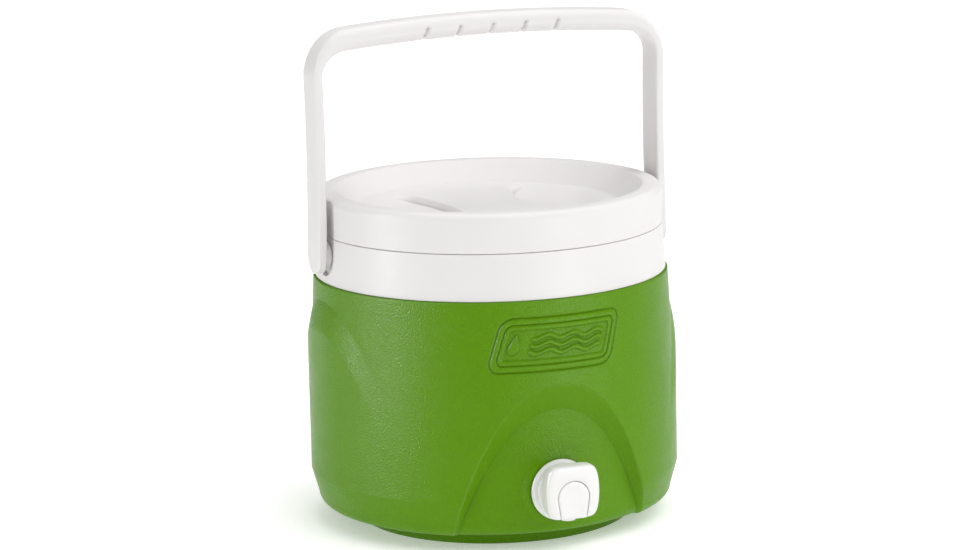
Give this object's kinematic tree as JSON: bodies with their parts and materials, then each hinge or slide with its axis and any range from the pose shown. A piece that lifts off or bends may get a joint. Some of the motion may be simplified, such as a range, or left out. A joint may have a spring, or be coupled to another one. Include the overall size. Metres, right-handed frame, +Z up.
{
  "type": "insulated drink cooler jug",
  "caption": "Round foam-insulated drink cooler jug with a press-on lid, a swinging bail handle and a spring-return push-button tap at the foot.",
  "frame": {"origin": "centre of the foot ring, on the floor", "axes": "+Z up along the jug's axis, -Y out through the tap, X along the handle's pivots"},
  "size_m": [0.2766, 0.2941, 0.3763],
  "materials": {
    "shell_plastic": "satin",
    "white_plastic": "satin",
    "liner_plastic": "satin",
    "tap_plastic": "satin",
    "foam": "matte",
    "seal_rubber": "matte",
    "black_rubber": "matte",
    "spring_steel": "satin"
  },
  "bodies": {
    "body": {"outer_shell": "shell_plastic", "insulation_foam": "foam", "foam_plug": "shell_plastic", "inner_liner": "liner_plastic", "collar": "white_plastic", "tap_body": "tap_plastic", "tap_washer_outer": "seal_rubber", "tap_washer_inner": "seal_rubber", "tap_nut": "tap_plastic", "tap_spider": "tap_plastic", "stem_o_ring": "black_rubber"},
    "bail": {"handle": "white_plastic"},
    "lid": {"lid_shell": "white_plastic", "lid_liner": "liner_plastic", "lid_foam": "foam", "lid_gasket": "seal_rubber"},
    "valve": {"tap_button": "tap_plastic", "tap_stem": "tap_plastic", "tap_clip": "spring_steel", "tap_seal": "black_rubber", "tap_spring": "spring_steel"}
  },
  "joints": [
    {"name": "handle_swing", "type": "hinge", "parent": "body", "child": "bail", "pos_m": [0, 0, 0.206], "axis": [1, 0, 0], "range_deg": [-112, 112]},
    {"name": "lid_lift", "type": "slide", "parent": "body", "child": "lid", "axis": [0, 0, 1], "range_m": [0, 0.1]},
    {"name": "tap_press", "type": "slide", "parent": "body", "child": "valve", "axis": [0, 1, 0], "range_m": [0, 0.0035], "stiffness_N_per_m": 800, "springref_m": -0.004, "deforming": ["tap_spring"]}
  ]
}
